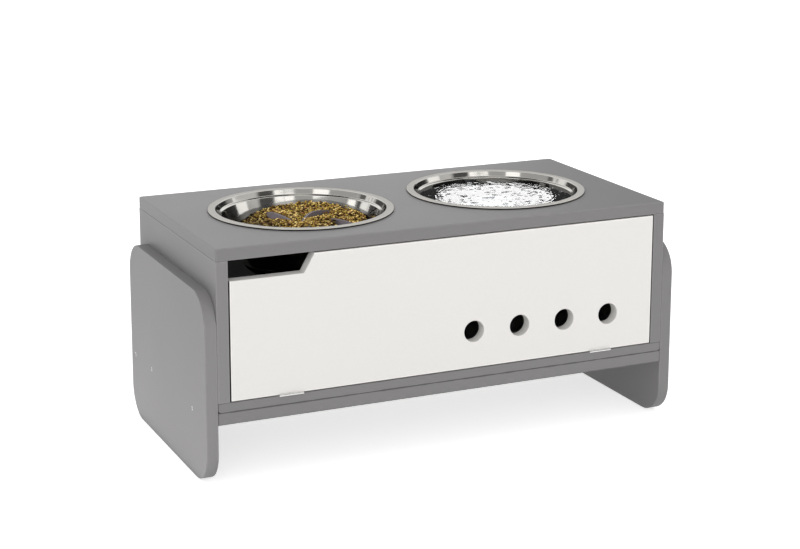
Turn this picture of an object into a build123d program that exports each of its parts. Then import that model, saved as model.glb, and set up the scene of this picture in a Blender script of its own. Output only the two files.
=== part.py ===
from build123d import *
import os
from math import asin, atan2, degrees, hypot, pi

# Elevated dog feeder with a storage compartment. Millimetres, +X to the right, +Y to the back, +Z up.
# The origin is on the floor, at the middle of the whole feeder's bounding box.

# ---- driving dimensions ----
cabinet_width = 600.0
cabinet_depth = 300.0
board = 15.0                  # top, sides, base, legs and door
floor_board_thickness = 12.0
ground_clearance = 74.0       # under the base board
side_height = 170.0
leg_height = 231.0
leg_corner = 40.0
edge_round = 0.8              # eased edges of the painted boards
top_edge_round = 2.0
soft_end_round = 4.5          # lower end edges of the floor board

hinge_barrel_r = 1.5
hinge_barrel_proud = 1.8      # barrel centre in front of the cabinet
hinge_proud = hinge_barrel_proud + hinge_barrel_r
front = -(cabinet_depth - hinge_proud) / 2
back = front + cabinet_depth
half_width = cabinet_width / 2

base_top = ground_clearance + board
floor_top = base_top + floor_board_thickness
side_top = floor_top + side_height
top_z = side_top + board
inner_half_width = half_width - board

# ---- door ----
door_side_gap = 1.3
door_top_gap = 1.7
door_bottom_gap = 0.6
door_half_width = inner_half_width - door_side_gap
door_bottom = floor_top + door_bottom_gap
door_top = side_top - door_top_gap
notch_depth = 23.0
notch_floor_length = 92.3
notch_slant = 13.4
vent_r = 13.5
vent_pitch = 63.0
vent_count = 4
vent_height = 147.8

# ---- bowls ----
bowl_offset = 136.0
bowl_y = front + cabinet_depth / 2
bowl_hole_r = 108.5
bowl_sheet = 0.8
rim_top = 2.2                 # above the top board
lip_r = 0.95
lip_centre_r = 115.2
rim_inner_r = 106.0
step_r = 102.9
step_depth = 4.3
bead_r = 99.0
bead_depth = 5.4
bowl_foot_r = 66.6            # where the wall's line meets the bottom
bowl_depth = 82.0
bowl_corner = 38.0

# ---- slow feeder insert ----
insert_lift_gap = 0.3
blade_count = 5
blade_thickness = 3.0
blade_reach = 68.0
blade_bend_r = 85.0
blade_first_angle = 131.0
blade_top_hub = -19.0
blade_crest_r = 42.0          # where a blade is highest
blade_crest = -12.2
blade_top_tip = -15.5
hub_r = 6.0
insert_foot_r = 36.0
insert_foot_thickness = 3.0

# ---- back panel in its grooves ----
back_panel_thickness = 3.0
groove_depth = 6.0
groove_inset = 8.0            # from the back edges
groove_play = 0.15

# ---- hinges ----
hinge_offset = 209.5
hinge_length = 31.0
leaf_thickness = 0.8
leaf_depth = 12.3
leaf_proud = 0.2
leaf_start = 0.3              # behind the cabinet's front
leaf_play = 0.15
pin_r = 0.8
pin_bore_r = 0.85
knuckle_count = 5
knuckle_play = 0.2
hinge_axis_y = front - hinge_barrel_proud
hinge_axis_z = floor_top + door_bottom_gap / 2
hinge_screw_spacing = 18.0
hinge_screw_inset = 7.2
hinge_screw_shank_r = 1.2
hinge_screw_head_r = 2.3
hinge_screw_length = 9.6

# ---- magnetic catch ----
catch_width = 46.0
catch_depth = 16.0
catch_height = 13.0
catch_wall = 2.5
catch_x = 0.0
pole_thickness = 1.2
pole_proud = 0.8
magnet_height = 6.0
strike_width = 38.0
strike_height = 13.0
strike_thickness = 1.2

# ---- fasteners ----
leg_screw_ys = [front + 52.0, front + 214.3, front + 283.7]
leg_screw_z = ground_clearance + board / 2
screw_shank_r = 2.0
screw_head_r = 2.7
screw_head_depth = 1.6
screw_socket_r = 1.4
screw_length = 45.0
screw_sink = 0.2
small_screw_sink = 0.1
cabinet_screw_ys = [front + 90.0, front + 250.0]
panel_mid_x = half_width - board / 2
cam_ys = [front + 45.0, front + 245.0]
cam_r = 7.4
cam_bore_r = 7.5
cam_length = 12.0
cam_drop = 24.0               # cam centre below the top board
bolt_r = 3.0
bolt_bore_r = 4.0
bolt_thread_length = 10.0
dowel_r = 4.0
dowel_length = 30.0
dowel_shallow = 10.0
dowel_play = 0.05
top_dowel_ys = [front + 95.0, front + 195.0]
floor_dowel_ys = [front + 40.0, front + 170.0]
leg_dowel_ys = [front + 120.0, front + 180.0]
clearance = 0.05
both_sides = [-1, 1]

os.makedirs("parts", exist_ok=True)


# ---- helpers ----
def block(x0, x1, y0, y1, z0, z1):
    """A box between two opposite corners."""
    size = Box(x1 - x0, y1 - y0, z1 - z0)
    return Pos((x0 + x1) / 2, (y0 + y1) / 2, (z0 + z1) / 2) * size


def rod(r, length, start, direction):
    """A cylinder that starts at a point and runs along a direction."""
    plane = Plane(origin=start, z_dir=direction)
    return plane * Pos(0, 0, length / 2) * Cylinder(r, length)


def cone(r0, r1, length, start, direction):
    """A cone that starts at a point with radius r0."""
    plane = Plane(origin=start, z_dir=direction)
    return plane * Pos(0, 0, length / 2) * Cone(r0, r1, length)


def edges_at(solid, axis, position, run):
    """Edges that run along one axis and lie at a position on another."""
    found = solid.edges().filter_by(run)
    return found.filter_by_position(axis, position - 0.01, position + 0.01)


def write(name, *pieces):
    """Save one node. Several separate solids, such as identical fasteners, share one file."""
    solids = [solid for piece in pieces for solid in piece.solids()]
    shape = solids[0] if len(solids) == 1 else Compound(children=solids)
    shape.label = name
    export_step(shape, f"parts/{name}.step")


# ---- fasteners ----
def socket_screw(start, direction, extra=0.0):
    """Countersunk board screw with a hex socket, or its hole when extra is given."""
    shank = rod(screw_shank_r + extra, screw_length + extra, start, direction)
    head = cone(screw_head_r + extra, screw_shank_r + extra, screw_head_depth, start, direction)
    screw = shank + head
    plane = Plane(origin=start, z_dir=direction)
    if extra:
        return screw + plane * Pos(0, 0, -1) * Cylinder(screw_head_r + extra, 2)
    return screw - plane * extrude(RegularPolygon(screw_socket_r, 6), 1.6)


def small_screw(start, direction, extra=0.0):
    """Countersunk wood screw for hinges, or its hole when extra is given."""
    length = hinge_screw_length + extra
    shank_r = hinge_screw_shank_r + extra
    shank = rod(shank_r, length - 1.5 * (extra == 0.0), start, direction)
    head = cone(hinge_screw_head_r + extra, shank_r, 1.4, start, direction)
    screw = shank + head
    plane = Plane(origin=start, z_dir=direction)
    if extra:
        return screw + plane * Pos(0, 0, -0.5) * Cylinder(hinge_screw_head_r + extra, 1)
    screw += cone(shank_r, 0.3, 1.5, Vector(start) + Vector(direction) * (length - 1.5), direction)
    for turn in (0, 90):
        screw -= plane * Rot(0, 0, turn) * Box(2.4, 0.5, 1.4)
    return screw


def dowel(start, direction, extra=0.0):
    """Beech dowel with chamfered ends, or its hole when extra is given."""
    if extra:
        return rod(dowel_r + extra, dowel_length, start, direction)
    peg = rod(dowel_r, dowel_length, start, direction)
    return chamfer(peg.edges().filter_by(GeomType.CIRCLE), 0.8)


def leg_screws(side, extra=0.0):
    """Three board screws through a leg into the end of the base board."""
    x = side * (half_width + board - screw_sink)
    return [socket_screw((x, y, leg_screw_z), (-side, 0, 0), extra) for y in leg_screw_ys]


def leg_dowels(side, extra=0.0):
    """Two dowels between a leg and the base board."""
    x = side * (half_width + dowel_shallow)
    return [dowel((x, y, leg_screw_z), (-side, 0, 0), extra) for y in leg_dowel_ys]


def cabinet_screws(side, extra=0.0):
    """Board screws from under the base board up into a side panel."""
    z = ground_clearance + screw_sink
    return [socket_screw((side * panel_mid_x, y, z), (0, 0, 1), extra) for y in cabinet_screw_ys]


def floor_dowels(side, extra=0.0):
    """Dowels between the floor board and a side panel."""
    z = floor_top - dowel_shallow
    return [dowel((side * panel_mid_x, y, z), (0, 0, 1), extra) for y in floor_dowel_ys]


def top_dowels(side, extra=0.0):
    """Dowels between a side panel and the top board."""
    z = side_top + dowel_shallow
    return [dowel((side * panel_mid_x, y, z), (0, 0, -1), extra) for y in top_dowel_ys]


def cam_lock(side, y):
    """Round cam with a keyhole channel for the bolt's head and a cross slot on its face."""
    face = (side * inner_half_width, y, side_top - cam_drop)
    cam = rod(cam_r, cam_length, face, (side, 0, 0))
    reach = side * panel_mid_x
    cam -= rod(bolt_bore_r, cam_r * 2, (reach, y, side_top - cam_drop - 4.5), (0, 0, 1))
    for size in ((3.0, 8.0, 1.4), (3.0, 1.4, 8.0)):
        cam -= Pos(*face) * Box(*size)
    return cam


def cam_bolt(side, y):
    """Bolt screwed up into the top board, with a ball head inside the cam."""
    x = side * panel_mid_x
    end = side_top - cam_drop
    shank = rod(2.2, side_top - end, (x, y, end), (0, 0, 1))
    collar = rod(3.4, 1.5, (x, y, side_top - 1.5), (0, 0, 1))
    thread = rod(bolt_r, bolt_thread_length, (x, y, side_top), (0, 0, 1))
    return shank + collar + thread + Pos(x, y, end) * Sphere(3.4)


# ---- boards ----
def make_top_board():
    solid = block(-half_width, half_width, front, back, side_top, top_z)
    rim_edges = solid.edges().group_by(Axis.Z)[-1]
    corners = solid.edges().filter_by(Axis.Z)
    solid = fillet(rim_edges + corners, top_edge_round)
    solid = fillet(solid.faces().sort_by(Axis.Z)[0].outer_wire().edges(), edge_round)
    for side in both_sides:
        hole = Pos(side * bowl_offset, bowl_y, side_top + board / 2) * Cylinder(bowl_hole_r, board + 1)
        solid -= hole
        for y in cam_ys:
            solid -= rod(bolt_r + clearance, bolt_thread_length + clearance,
                         (side * panel_mid_x, y, side_top), (0, 0, 1))
        for hole in top_dowels(side, dowel_play):
            solid -= hole
    solid -= back_groove_strip(side_top, side_top + groove_depth)
    for hole in catch_screw_set(clearance):
        solid -= hole
    return solid


def back_groove_strip(z0, z1):
    """Slot for the back panel along the top or floor board."""
    y1 = back - groove_inset
    y0 = y1 - back_panel_thickness - 2 * groove_play
    x = inner_half_width + groove_depth
    return block(-x, x, y0, y1, z0, z1)


def make_side_panel(side):
    x0, x1 = sorted((side * inner_half_width, side * half_width))
    solid = block(x0, x1, front, back, floor_top, side_top)
    solid = fillet(solid.edges().filter_by(Axis.Z), edge_round)
    y1 = back - groove_inset
    y0 = y1 - back_panel_thickness - 2 * groove_play
    g0, g1 = sorted((side * inner_half_width, side * (inner_half_width + groove_depth)))
    solid -= block(g0, g1, y0, y1, floor_top, side_top)
    for y in cam_ys:
        face = (side * inner_half_width, y, side_top - cam_drop)
        solid -= rod(cam_bore_r, cam_length + clearance, face, (side, 0, 0))
        solid -= rod(bolt_bore_r, cam_drop, (side * panel_mid_x, y, side_top), (0, 0, -1))
    holes = top_dowels(side, dowel_play) + floor_dowels(side, dowel_play) + cabinet_screws(side, clearance)
    for hole in holes:
        solid -= hole
    return solid


def make_floor_board():
    solid = block(-half_width, half_width, front, back, base_top, floor_top)
    low_ends = [e for x in (-half_width, half_width)
                for e in edges_at(solid, Axis.X, x, Axis.Y).group_by(Axis.Z)[0]]
    solid = fillet(low_ends, soft_end_round)
    solid = fillet(edges_at(solid, Axis.Y, front, Axis.X), edge_round)
    solid -= back_groove_strip(floor_top - groove_depth, floor_top)
    for side in both_sides:
        for hole in floor_dowels(side, dowel_play) + cabinet_screws(side, clearance):
            solid -= hole
        solid -= leaf_mortise(side, floor_top - leaf_thickness + leaf_proud, floor_top)
        for hole in hinge_screw_set(side, -1, clearance):
            solid -= hole
    return solid


def make_base_board():
    solid = block(-half_width, half_width, front, back, ground_clearance, base_top)
    solid = fillet(solid.edges().filter_by(Axis.X), edge_round)
    for side in both_sides:
        holes = leg_screws(side, clearance) + leg_dowels(side, dowel_play) + cabinet_screws(side, clearance)
        for hole in holes:
            solid -= hole
    return solid


def make_leg(side):
    solid = block(min(side * half_width, side * (half_width + board)),
                  max(side * half_width, side * (half_width + board)),
                  front, back, 0, leg_height)
    solid = fillet(solid.edges().filter_by(Axis.X), leg_corner)
    solid = fillet(solid.faces().filter_by(Axis.X).edges(), edge_round)
    for hole in leg_screws(side, clearance) + leg_dowels(side, dowel_play):
        solid -= hole
    return solid


def make_back_panel():
    y1 = back - groove_inset - groove_play
    x = inner_half_width + groove_depth - 0.5
    return block(-x, x, y1 - back_panel_thickness, y1,
                 floor_top - groove_depth + 0.5, side_top + groove_depth - 0.5)


def make_door():
    left, right = -door_half_width, door_half_width
    floor_x = left + notch_floor_length
    notch_z = door_top - notch_depth
    outline = Polyline((left, door_bottom), (right, door_bottom), (right, door_top),
                       (floor_x + notch_slant, door_top), (floor_x, notch_z), (left, notch_z), close=True)
    face = Plane.XZ * make_face(outline)
    solid = extrude(face, board, dir=(0, 1, 0))
    solid = Pos(0, front, 0) * solid
    vent_xs = [door_half_width - vent_pitch * (k + 1) for k in range(vent_count)]
    for x in vent_xs:
        solid -= rod(vent_r, board + 2, (x, front - 1, vent_height), (0, 1, 0))
    solid = fillet(solid.faces().filter_by(Axis.Y).edges(), edge_round)
    for side in both_sides:
        solid -= leaf_mortise(side, door_bottom, door_bottom + leaf_thickness - leaf_proud)
        for hole in hinge_screw_set(side, 1, clearance):
            solid -= hole
    solid -= strike_screw(clearance)
    return solid


# ---- hinges ----
def leaf_mortise(side, z0, z1):
    """Shallow seat for a hinge leaf, open at the front."""
    half = hinge_length / 2 + leaf_play
    x = side * hinge_offset
    return block(x - half, x + half, front - 1, front + leaf_start + leaf_depth + leaf_play, z0, z1)


def hinge_screw_set(side, way, extra=0.0):
    """Two screws of one leaf: way is +1 for the door's leaf, -1 for the floor's."""
    z_face = door_bottom - leaf_proud if way > 0 else floor_top + leaf_proud
    z = z_face + way * small_screw_sink
    y = front + leaf_start + hinge_screw_inset
    xs = [side * hinge_offset + s * hinge_screw_spacing / 2 for s in both_sides]
    return [small_screw((x, y, z), (0, 0, way), extra) for x in xs]


def hinge_leaf(side, way, knuckles):
    """One leaf with its curled knuckles, countersunk for two screws."""
    x_mid = side * hinge_offset
    z_out = door_bottom - leaf_proud if way > 0 else floor_top + leaf_proud
    z0, z1 = sorted((z_out, z_out + way * leaf_thickness))
    y0 = front + leaf_start
    plate = block(x_mid - hinge_length / 2, x_mid + hinge_length / 2, y0, y0 + leaf_depth, z0, z1)
    back_corners = plate.edges().filter_by(Axis.Z).group_by(Axis.Y)[-1]
    leaf = fillet(back_corners, 1.5)
    pitch = hinge_length / knuckle_count
    for k in knuckles:
        x0 = x_mid - hinge_length / 2 + k * pitch + knuckle_play / 2
        x1 = x0 + pitch - knuckle_play
        leaf += rod(hinge_barrel_r, x1 - x0, (x0, hinge_axis_y, hinge_axis_z), (1, 0, 0))
        leaf += block(x0, x1, hinge_axis_y, y0 + 0.5, z0, z1)
    leaf -= rod(pin_bore_r, hinge_length + 2,
                (x_mid - hinge_length / 2 - 1, hinge_axis_y, hinge_axis_z), (1, 0, 0))
    for hole in hinge_screw_set(side, way, clearance):
        leaf -= hole
    return leaf


def hinge_pin(side):
    """Plain pin, a little shorter than the barrel."""
    length = hinge_length - 0.6
    start = (side * hinge_offset - length / 2, hinge_axis_y, hinge_axis_z)
    return rod(pin_r, length, start, (1, 0, 0))


# ---- magnetic catch ----
def catch_faces():
    """Front and back of the catch housing, and its height below the top board."""
    y0 = front + board + strike_thickness + pole_proud
    return y0, y0 + catch_depth, side_top - catch_height


def catch_screw_set(extra=0.0):
    """Two screws up through the housing's ears."""
    y0, y1, z0 = catch_faces()
    z = side_top - 3.0
    return [small_screw((catch_x + s * (catch_width / 2 - 5.0), (y0 + y1) / 2, z), (0, 0, 1), extra)
            for s in both_sides]


def make_catch_body():
    y0, y1, z0 = catch_faces()
    half = catch_width / 2
    ears = block(-half, half, y0, y1, side_top - 3.0, side_top)
    ears = fillet(ears.edges().filter_by(Axis.Z), 3.0)
    core = block(-half + 10.0, half - 10.0, y0, y1, z0, side_top)
    core = fillet(core.edges().filter_by(Axis.Y).group_by(Axis.Z)[0], 1.5)
    body = ears + core
    pocket_z = z0 + (catch_height - magnet_height) / 2 - pole_thickness
    pocket_h = magnet_height + 2 * pole_thickness
    x = half - 10.0 - catch_wall
    body -= block(-x, x, y0 - 1, y1 - catch_wall, pocket_z, pocket_z + pocket_h)
    for hole in catch_screw_set(clearance):
        body -= hole
    return Pos(catch_x, 0, 0) * body


def catch_inner():
    """Half width, front, back and bottom of the pocket, less a little play."""
    y0, y1, z0 = catch_faces()
    pocket_z = z0 + (catch_height - magnet_height) / 2 - pole_thickness
    return catch_width / 2 - 10.0 - catch_wall - 0.1, y0, y1 - catch_wall - 0.1, pocket_z


def make_magnet():
    x, y0, y1, z = catch_inner()
    return block(catch_x - x, catch_x + x, y0 + 1.0, y1, z + pole_thickness, z + pole_thickness + magnet_height)


def make_pole_plates():
    x, y0, y1, z = catch_inner()
    low = block(catch_x - x, catch_x + x, y0 - pole_proud, y1, z, z + pole_thickness)
    high = Pos(0, 0, magnet_height + pole_thickness) * low
    return [low, high]


def strike_middle():
    y0, y1, z0 = catch_faces()
    return z0 + catch_height / 2


def make_strike_plate():
    z = strike_middle()
    y0 = front + board
    plate = block(catch_x - strike_width / 2, catch_x + strike_width / 2, y0, y0 + strike_thickness,
                  z - strike_height / 2, min(z + strike_height / 2, door_top - 0.4))
    plate = fillet(plate.edges().filter_by(Axis.Y), 2.0)
    return plate - strike_screw(clearance)


def strike_screw(extra=0.0):
    """Screw that holds the strike plate on the door's inner face."""
    y = front + board + strike_thickness - small_screw_sink
    return small_screw((catch_x, y, strike_middle()), (0, -1, 0), extra)


# ---- bowls ----
def offset_corners(points, radii, distance):
    """Move an open run of straight lines sideways; each corner keeps its centre, so its radius changes."""
    moved, new_radii = [], []
    last = len(points) - 1
    for i, (x, z) in enumerate(points):
        before = points[i - 1] if i else None
        after = points[i + 1] if i < last else None
        normals, turns = [], []
        for a, b in ((before, (x, z)), ((x, z), after)):
            if a is None or b is None:
                continue
            run = hypot(b[0] - a[0], b[1] - a[1])
            normals.append(((b[1] - a[1]) / run, -(b[0] - a[0]) / run))
            turns.append(atan2(b[1] - a[1], b[0] - a[0]))
        nx = sum(n[0] for n in normals)
        nz = sum(n[1] for n in normals)
        scale = 2 * distance / (nx * nx + nz * nz) if len(normals) == 2 else distance
        moved.append((x + nx * scale, z + nz * scale))
        if len(turns) == 2:
            side = 1 if (turns[1] - turns[0] + pi) % (2 * pi) - pi > 0 else -1
            new_radii.append(radii[i - 1] + side * distance)
    return moved, new_radii


def make_bowl(side):
    """Pressed bowl: flat rim with a curled lip, a step with a bead, a conical wall and a round bottom."""
    # the run goes from the middle of the bottom out to the lip, seen in the XZ plane
    inside = [(0, -bowl_depth), (bowl_foot_r, -bowl_depth), (bead_r, -bead_depth),
              (step_r, -step_depth), (rim_inner_r, rim_top), (lip_centre_r, rim_top)]
    radii = [bowl_corner, 1.2, 1.4, 1.2]
    outside, outside_radii = offset_corners(inside, radii, bowl_sheet)
    inner_line = FilletPolyline(*[(x, 0, z) for x, z in inside], radius=radii)
    outer_line = FilletPolyline(*[(x, 0, z) for x, z in outside], radius=outside_radii)
    ends = [Line(inner_line @ 0, outer_line @ 0), Line(inner_line @ 1, outer_line @ 1)]
    section = make_face([inner_line, outer_line] + ends)
    shell = revolve(section, Axis.Z, 360)
    lip = Pos(0, 0, rim_top - lip_r) * Torus(lip_centre_r, lip_r)
    return Pos(side * bowl_offset, bowl_y, top_z) * (shell + lip)


# ---- slow feeder insert ----
def make_insert():
    """Curved blades round a hub, on a foot disc; the blades' ends keep clear of the bowl's wall."""
    bottom = -bowl_depth + insert_lift_gap
    lower = Polyline((0, 0, blade_top_hub), (0, 0, bottom), (insert_foot_r, 0, bottom),
                     (blade_reach - 12.0, 0, -60.0), (blade_reach, 0, blade_top_tip - 2.0),
                     (blade_reach - 2.0, 0, blade_top_tip))
    crest = Spline(lower @ 1, (blade_crest_r, 0, blade_crest), (hub_r, 0, blade_top_hub))
    flat = Line(crest @ 1, lower @ 0)
    envelope = revolve(make_face([lower, crest, flat]), Axis.Z, 360)
    ring = Circle(blade_bend_r + blade_thickness / 2) - Circle(blade_bend_r - blade_thickness / 2)
    wall = Pos(0, 0, -bowl_depth) * extrude(ring, bowl_depth)
    swing = degrees(asin(blade_reach / (2 * blade_bend_r)))
    seat = (Align.CENTER, Align.CENTER, Align.MIN)
    hub = Cone(hub_r + 1.5, hub_r, blade_top_hub + 1.0 - bottom, align=seat)
    foot = Cylinder(insert_foot_r, insert_foot_thickness, align=seat)
    solid = Pos(0, 0, bottom) * (hub + foot)
    for k in range(blade_count):
        root = blade_first_angle - k * 360 / blade_count
        centre = Vector(blade_bend_r, 0, 0).rotate(Axis.Z, root - 90)
        outer_half = Rot(0, 0, root - swing) * block(hub_r / 2, 100, -100, 100, -bowl_depth, 0)
        solid += (Pos(centre) * wall) & envelope & outer_half
    return Pos(-bowl_offset, bowl_y, top_z) * solid


# ---- write the nodes ----
write("top_board", make_top_board())
write("left_side_panel", make_side_panel(-1))
write("right_side_panel", make_side_panel(1))
write("floor_board", make_floor_board())
write("base_board", make_base_board())
write("left_leg", make_leg(-1))
write("right_leg", make_leg(1))
write("back_panel", make_back_panel())
write("door", make_door())

door_knuckles = [1, 3]
floor_knuckles = [0, 2, 4]
for name, side in (("left", -1), ("right", 1)):
    write(f"{name}_hinge_door_leaf", hinge_leaf(side, 1, door_knuckles))
    write(f"{name}_hinge_floor_leaf", hinge_leaf(side, -1, floor_knuckles))
    write(f"{name}_hinge_pin", hinge_pin(side))
    write(f"{name}_leg_screws", *leg_screws(side))
write("hinge_door_screws", *hinge_screw_set(-1, 1), *hinge_screw_set(1, 1))
write("hinge_floor_screws", *hinge_screw_set(-1, -1), *hinge_screw_set(1, -1))

write("catch_housing", make_catch_body())
write("catch_magnet", make_magnet())
write("catch_pole_plates", *make_pole_plates())
write("catch_screws", *catch_screw_set())
write("strike_plate", make_strike_plate())
write("strike_screw", strike_screw())

write("food_bowl", make_bowl(-1))
write("water_bowl", make_bowl(1))
write("slow_feeder_insert", make_insert())

write("cam_locks", *[cam_lock(side, y) for side in both_sides for y in cam_ys])
write("cam_bolts", *[cam_bolt(side, y) for side in both_sides for y in cam_ys])
write("top_dowels", *top_dowels(-1), *top_dowels(1))
write("floor_dowels", *floor_dowels(-1), *floor_dowels(1))
write("leg_dowels", *leg_dowels(-1), *leg_dowels(1))
write("cabinet_screws", *cabinet_screws(-1), *cabinet_screws(1))
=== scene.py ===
import math
import random

import bpy
from mathutils import Matrix, Vector, noise


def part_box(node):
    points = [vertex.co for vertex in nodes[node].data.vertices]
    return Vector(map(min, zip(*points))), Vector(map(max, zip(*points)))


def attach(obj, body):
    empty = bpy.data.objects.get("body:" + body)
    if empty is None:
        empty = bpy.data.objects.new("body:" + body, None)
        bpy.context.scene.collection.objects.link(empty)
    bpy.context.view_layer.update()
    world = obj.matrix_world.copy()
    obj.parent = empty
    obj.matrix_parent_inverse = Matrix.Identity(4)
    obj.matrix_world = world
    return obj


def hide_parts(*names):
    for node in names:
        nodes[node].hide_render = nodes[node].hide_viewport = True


# Raised pet feeder with a storage cabinet, dressed in studio light. Metres, +X right, +Y back, +Z up.

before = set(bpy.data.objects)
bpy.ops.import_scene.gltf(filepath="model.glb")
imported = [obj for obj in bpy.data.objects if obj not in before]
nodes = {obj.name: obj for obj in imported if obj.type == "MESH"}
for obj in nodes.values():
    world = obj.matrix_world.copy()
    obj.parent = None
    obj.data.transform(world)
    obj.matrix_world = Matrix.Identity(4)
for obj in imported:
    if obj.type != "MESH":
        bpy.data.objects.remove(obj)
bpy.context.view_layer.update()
scene = bpy.context.scene
scene.view_settings.view_transform = "Standard"
mm = 0.001
print("frame loaded:", len(nodes), "parts")


cameraSettings = {
    "place": (-0.963, -2.114, 0.817),
    "turn": 24.46,        # degrees from straight ahead towards +X
    "tilt": 12.24,        # degrees down
    "roll": 0.12,
    "lens": 84.15,
    "sensor": 36,
    "shift": -0.12,
    "clip": (0.05, 200),
}


def newObject(name, data):
    thing = bpy.data.objects.new(name, data)
    scene.collection.objects.link(thing)
    return thing


def makeCamera(settings):
    data = bpy.data.cameras.new("studio_camera")
    data.lens = settings["lens"]
    data.sensor_width = settings["sensor"]
    data.shift_y = settings["shift"]
    data.clip_start, data.clip_end = settings["clip"]
    camera = newObject("studio_camera", data)
    look = Matrix.Rotation(-math.radians(settings["turn"]), 3, "Z")
    look = look @ Matrix.Rotation(math.radians(90 - settings["tilt"]), 3, "X")
    look = look @ Matrix.Rotation(math.radians(settings["roll"]), 3, "Z")
    camera.matrix_world = Matrix.Translation(settings["place"]) @ look.to_4x4()
    scene.camera = camera


makeCamera(cameraSettings)


def place(tree, kind, **settings):
    node = tree.nodes.new(kind)
    for key, value in settings.items():
        setattr(node, key, value)
    return node


def feed(tree, socket, value):
    if isinstance(value, bpy.types.NodeSocket):
        tree.links.new(value, socket)
    elif value is not None:
        socket.default_value = value


def maths(tree, operation, first, second=None, third=None, clamp=False):
    node = place(tree, "ShaderNodeMath", operation=operation, use_clamp=clamp)
    for socket, value in zip(node.inputs, (first, second, third)):
        feed(tree, socket, value)
    return node.outputs[0]


def vectors(tree, operation, first, second=None, scale=None):
    node = place(tree, "ShaderNodeVectorMath", operation=operation)
    feed(tree, node.inputs[0], first)
    feed(tree, node.inputs[1], second)
    if scale is not None:
        feed(tree, node.inputs["Scale"], scale)
    return node.outputs["Value"] if operation in ("LENGTH", "DOT_PRODUCT") else node.outputs[0]


def remap(tree, value, low, high, newLow, newHigh, smooth=False):
    node = place(tree, "ShaderNodeMapRange", interpolation_type="SMOOTHSTEP" if smooth else "LINEAR")
    for name, number in zip(("Value", "From Min", "From Max", "To Min", "To Max"),
                            (value, low, high, newLow, newHigh)):
        feed(tree, node.inputs[name], number)
    return node.outputs[0]


def cloud(tree, vector, scale, detail=2.0, roughness=0.5):
    node = place(tree, "ShaderNodeTexNoise")
    feed(tree, node.inputs["Vector"], vector)
    feed(tree, node.inputs["Scale"], scale)
    feed(tree, node.inputs["Detail"], detail)
    feed(tree, node.inputs["Roughness"], roughness)
    return node.outputs["Fac"]


def spread(tree, grain, low, high):
    # a noise keeps between about 0.3 and 0.7
    return remap(tree, grain, 0.3, 0.7, low, high)


def centred(tree, grain):
    return maths(tree, "SUBTRACT", grain, 0.5)


def sway(tree, grain, amount, base):
    return maths(tree, "MULTIPLY_ADD", centred(tree, grain), amount, base)


def tint(tree, colour, factor):
    return vectors(tree, "SCALE", colour, scale=factor)


def surfacePlace(tree):
    return place(tree, "ShaderNodeTexCoord").outputs["Object"]


def axes(tree, vector):
    node = place(tree, "ShaderNodeSeparateXYZ")
    feed(tree, node.inputs[0], vector)
    return node.outputs


def colourRamp(tree, value, stops):
    node = place(tree, "ShaderNodeValToRGB")
    elements = node.color_ramp.elements
    while len(elements) < len(stops):
        elements.new(0.5)
    for element, (position, colour) in zip(elements, stops):
        element.position = position
        element.color = (*colour, 1)
    feed(tree, node.inputs[0], value)
    return node.outputs[0]


def newGroup(name, inputs, outputs):
    group = bpy.data.node_groups.new(name, "ShaderNodeTree")
    for label, kind, value in inputs:
        socket = group.interface.new_socket(label, in_out="INPUT", socket_type="NodeSocket" + kind)
        socket.default_value = value
    for label, kind in outputs:
        group.interface.new_socket(label, in_out="OUTPUT", socket_type="NodeSocket" + kind)
    return group, place(group, "NodeGroupInput").outputs, place(group, "NodeGroupOutput").inputs


def useGroup(tree, group, **values):
    node = place(tree, "ShaderNodeGroup", node_tree=group)
    for label, value in values.items():
        feed(tree, node.inputs[label], value)
    return node.outputs


def newMaterial(name):
    material = bpy.data.materials.new(name)
    material.use_nodes = True
    tree = material.node_tree
    return material, tree, tree.nodes["Principled BSDF"]


def bareMaterial(name):
    material, tree, shader = newMaterial(name)
    tree.nodes.clear()
    return material, tree


def bump(tree, shader, height, distance, strength=1.0):
    node = place(tree, "ShaderNodeBump")
    node.inputs["Distance"].default_value = distance
    node.inputs["Strength"].default_value = strength
    feed(tree, node.inputs["Height"], height)
    tree.links.new(node.outputs[0], shader.inputs["Normal"])


def coat(tree, shader, skin, depth, colour=None):
    # puts a group's outputs on the shader
    feed(tree, shader.inputs["Base Color"], colour or skin["Colour"])
    feed(tree, shader.inputs["Roughness"], skin["Roughness"])
    bump(tree, shader, skin["Height"], depth)


skinOutputs = [("Colour", "Color"), ("Roughness", "Float"), ("Height", "Float")]
paintGrain = {
    # scales of the noises, and how far they sway the roughness
    "broad": 9.0,
    "fine": 420.0,
    "peel": 850.0,
    "broadRough": 0.10,
    "fineRough": 0.12,
}


def makePaintGroup(settings):
    group, given, out = newGroup(
        "rolledPaint",
        [("Colour", "Color", (0.5, 0.5, 0.5, 1)), ("Mottle", "Float", 0.03), ("Speckle", "Float", 0.02),
         ("Base roughness", "Float", 0.45)],
        skinOutputs)
    where = surfacePlace(group)
    broad = cloud(group, where, settings["broad"], 3.0)
    fine = cloud(group, where, settings["fine"], 2.0)
    peel = cloud(group, where, settings["peel"], 1.5)
    broadPart = maths(group, "MULTIPLY", centred(group, broad), given["Mottle"])
    finePart = maths(group, "MULTIPLY", centred(group, fine), given["Speckle"])
    factor = maths(group, "ADD", maths(group, "ADD", broadPart, finePart), 1.0)
    feed(group, out["Colour"], tint(group, given["Colour"], factor))
    rough = sway(group, fine, settings["fineRough"], given["Base roughness"])
    feed(group, out["Roughness"], sway(group, broad, settings["broadRough"], rough))
    feed(group, out["Height"], peel)
    return group


edgeLightWaver = {"scale": 60.0, "least": 0.6, "most": 1.4, "full": 0.35}    # the edge's width comes and goes


# painted edge light: brightens the colour along a board's edges as a painted highlight; a negative amount
# darkens them as painted shade
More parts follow.
